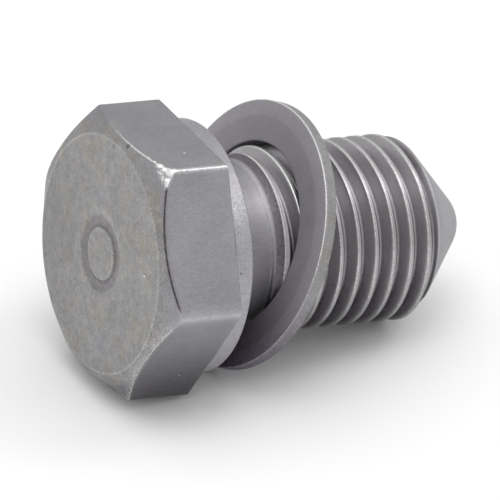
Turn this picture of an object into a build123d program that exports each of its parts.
from build123d import *
import math
import os

# Oil drain plug with a loose captive washer, lying on its side as it comes to rest.
# The plug is one cold-headed, turned and thread-rolled steel piece. The washer is punched from
# sheet and was put on before the thread was rolled, so the thread keeps it on the neck.
# Both are drawn along Z, with the head's end face at height 0 and the nose up, and laid down last.

# Head
across_flats = 19.0
hexagon_thickness = 6.25
end_face_diameter = 17.8
chamfer_angle = 32.0
collar_diameter = 18.9
collar_thickness = 1.45
collar_bevel = 0.2
recess_diameter = 5.9
recess_depth = 0.12

# Neck, the hollow shoulder above it, and the first crests, which grow to the full thread
neck_length = 3.3
neck_undercut = 0.04
neck_bevel = 0.3
shoulder_length = 1.05
shoulder_rise = 0.45
crest_growth_length = 1.9

# Thread: a rolled metric fine thread, right-handed. The last value is where a crest lies on the
# underside above the end face, less whole pitches.
thread_diameter = 14.0
thread_pitch = 1.5
thread_depth = 0.89
thread_flank_angle = 30.0
groove_root_width = 0.2
thread_length = 16.95
underside_crest_height = 0.515

# Nose
nose_half_angle = 47.5
nose_tip_radius = 3.0

# Washer
washer_diameter = 20.2
washer_thickness = 1.06
washer_capture = 0.1
washer_bevel = 0.06
rollover_width = 1.25
rollover_depth = 0.1
touch_gap = 0.02

# How far the groove cutter stands out past the crests
cutter_margin = 0.1

# Sizes that follow from those above
head_height = hexagon_thickness + collar_thickness
thread_end = head_height + thread_length
thread_radius = thread_diameter / 2
root_radius = thread_radius - thread_depth
neck_radius = root_radius - neck_undercut
shoulder_start = head_height + neck_length
shoulder_radius = neck_radius + shoulder_rise
shoulder_end = shoulder_start + shoulder_length
full_thread_start = shoulder_end + crest_growth_length
washer_radius = washer_diameter / 2
hole_radius = thread_radius - washer_capture / 2
half_thickness = washer_thickness / 2
half_edge = half_thickness - washer_bevel


def turned(outline):
    """A solid of revolution about Z from a closed outline of (radius, height) lines and arcs."""
    return revolve(Plane.XZ * make_face(outline), Axis.Z)


def make_hexagon():
    """The spanner hexagon, its corners cut to a cone round the end face, with a stamped recess."""
    corner_radius = across_flats / 2 / math.cos(math.radians(30))
    end_face_radius = end_face_diameter / 2
    cone_rise = (corner_radius - end_face_radius) * math.tan(math.radians(chamfer_angle))
    cone = turned(
        Polyline(
            (0, 0),
            (end_face_radius, 0),
            (corner_radius, cone_rise),
            (corner_radius, hexagon_thickness),
            (0, hexagon_thickness),
            close=True,
        )
    )
    outline = RegularPolygon(across_flats / 2, 6, major_radius=False, rotation=30)
    hexagon = extrude(outline, hexagon_thickness) & cone
    return hexagon - extrude(Circle(recess_diameter / 2), recess_depth)


def make_blank():
    """The turned shape: collar, neck, hollow shoulder, growing thread blank, nose and rounded tip.

    The shoulder is an arc, drawn as two slopes that meet at its middle.
    """
    collar_radius = collar_diameter / 2
    nose_angle = math.radians(nose_half_angle)
    ball_edge_radius = nose_tip_radius * math.cos(nose_angle)
    cone_end = thread_end + (thread_radius - ball_edge_radius) / math.tan(nose_angle)
    ball_centre = cone_end - nose_tip_radius * math.sin(nose_angle)
    middle_angle = math.radians((nose_half_angle + 90) / 2)
    ball_middle = (
        nose_tip_radius * math.cos(middle_angle),
        ball_centre + nose_tip_radius * math.sin(middle_angle),
    )
    tip = (0, ball_centre + nose_tip_radius)
    hollow_angle = 2 * math.atan2(shoulder_rise, shoulder_length)
    hollow_radius = shoulder_length / math.sin(hollow_angle)
    hollow_middle = (
        neck_radius + hollow_radius * (1 - math.cos(hollow_angle / 2)),
        shoulder_start + hollow_radius * math.sin(hollow_angle / 2),
    )
    sides = Polyline(
        tip,
        (0, hexagon_thickness),
        (collar_radius, hexagon_thickness),
        (collar_radius, head_height - collar_bevel),
        (collar_radius - collar_bevel, head_height),
        (neck_radius + neck_bevel, head_height),
        (neck_radius, head_height + neck_bevel),
        (neck_radius, shoulder_start),
        hollow_middle,
        (shoulder_radius, shoulder_end),
        (thread_radius, full_thread_start),
        (thread_radius, thread_end),
        (ball_edge_radius, cone_end),
    )
    return turned([sides, ThreePointArc((ball_edge_radius, cone_end), ball_middle, tip)])


def make_groove():
    """The thread's groove, one cutter for each turn, from below the shoulder to past the thread.

    Its root is outside the neck, so it fades out by itself where the shoulder falls to the neck.
    """
    half_root = groove_root_width / 2
    reach = thread_depth + cutter_margin
    half_mouth = half_root + reach * math.tan(math.radians(thread_flank_angle))
    section = Polyline(
        (root_radius, -half_root),
        (root_radius, half_root),
        (root_radius + reach, half_mouth),
        (root_radius + reach, -half_mouth),
        close=True,
    )
    path = Helix(thread_pitch, thread_pitch, root_radius)
    cutter = sweep(Plane.XZ * make_face(section), path=path, is_frenet=True)
    underside_groove = underside_crest_height + thread_pitch / 2
    skipped = math.floor((shoulder_start - underside_groove) / thread_pitch)
    first = underside_groove + skipped * thread_pitch
    turns = math.ceil((thread_end + thread_depth - first) / thread_pitch) + 1
    return [Pos(0, 0, first + turn * thread_pitch) * cutter for turn in range(turns)]


def make_plug():
    """The whole plug: hexagon and turned blank in one piece, with the thread rolled in."""
    return make_hexagon() + make_blank() - make_groove()


def make_washer():
    """The punched washer, centred on the origin, its rolled-over outer edge towards the head."""
    return turned(
        Polyline(
            (hole_radius + washer_bevel, -half_thickness),
            (hole_radius, -half_edge),
            (hole_radius, half_edge),
            (hole_radius + washer_bevel, half_thickness),
            (washer_radius - washer_bevel, half_thickness),
            (washer_radius, half_edge),
            (washer_radius, rollover_depth - half_thickness),
            (washer_radius - rollover_width, -half_thickness),
            close=True,
        )
    )


def washer_lean():
    """The lean, in degrees, at which the hole touches the neck below and the thread above."""
    reach = math.hypot(hole_radius, half_edge)
    inner = math.degrees(math.atan2(half_edge, hole_radius))
    held_radius = (neck_radius + thread_radius) / 2 + touch_gap
    return math.degrees(math.acos(held_radius / reach)) - inner


def washer_centre(lean):
    """The washer's centre: its height up the axis, and how far it sits above the axis at rest."""
    tilt = math.radians(lean)
    height = shoulder_start + hole_radius * math.sin(tilt) - half_thickness * math.cos(tilt)
    return height, (thread_radius - neck_radius) / 2


def rest_pitch(lean, height, rise):
    """How far the nose drops, in degrees, for the washer's rim and the last crest to share a floor."""
    tilt = math.radians(lean)
    rim_depth = washer_radius * math.cos(tilt) + half_edge * math.sin(tilt) - rise
    rim_height = height - washer_radius * math.sin(tilt) + half_edge * math.cos(tilt)
    return math.degrees(math.atan2(rim_depth - thread_radius, thread_end - rim_height))


# The washer leans its top towards the nose. Down, at rest, is local +X until the plug is laid.
lean = washer_lean()
height, rise = washer_centre(lean)
pitch = rest_pitch(lean, height, rise)
plug = make_plug()
washer = Pos(-rise, 0, height) * Rot(0, lean, 0) * make_washer()

# Laid on its side: the nose along +X and a little down, the lowest points at height 0
laid = Rot(0, 90 + pitch, 0)
box = Compound([laid * plug, laid * washer]).bounding_box()
rest = Pos(-box.center().X, -box.center().Y, -box.min.Z) * laid

os.makedirs("parts", exist_ok=True)
for name, shape in (("drain_plug", plug), ("captive_washer", washer)):
    export_step(rest * shape, f"parts/{name}.step")

print(f"washer lean {lean:.2f}, nose drop {pitch:.2f} degrees, play {touch_gap} mm")
for name, local in (
    ("end face centre", (0, 0, 0)),
    ("bearing face centre", (0, 0, head_height)),
    ("washer centre", (-rise, 0, height)),
    ("thread end", (0, 0, thread_end)),
):
    print(name, [round(value, 4) for value in (rest * Pos(*local)).position])
print("volume", round(plug.volume, 1), round(washer.volume, 1), "overlap", (plug & washer).volume)
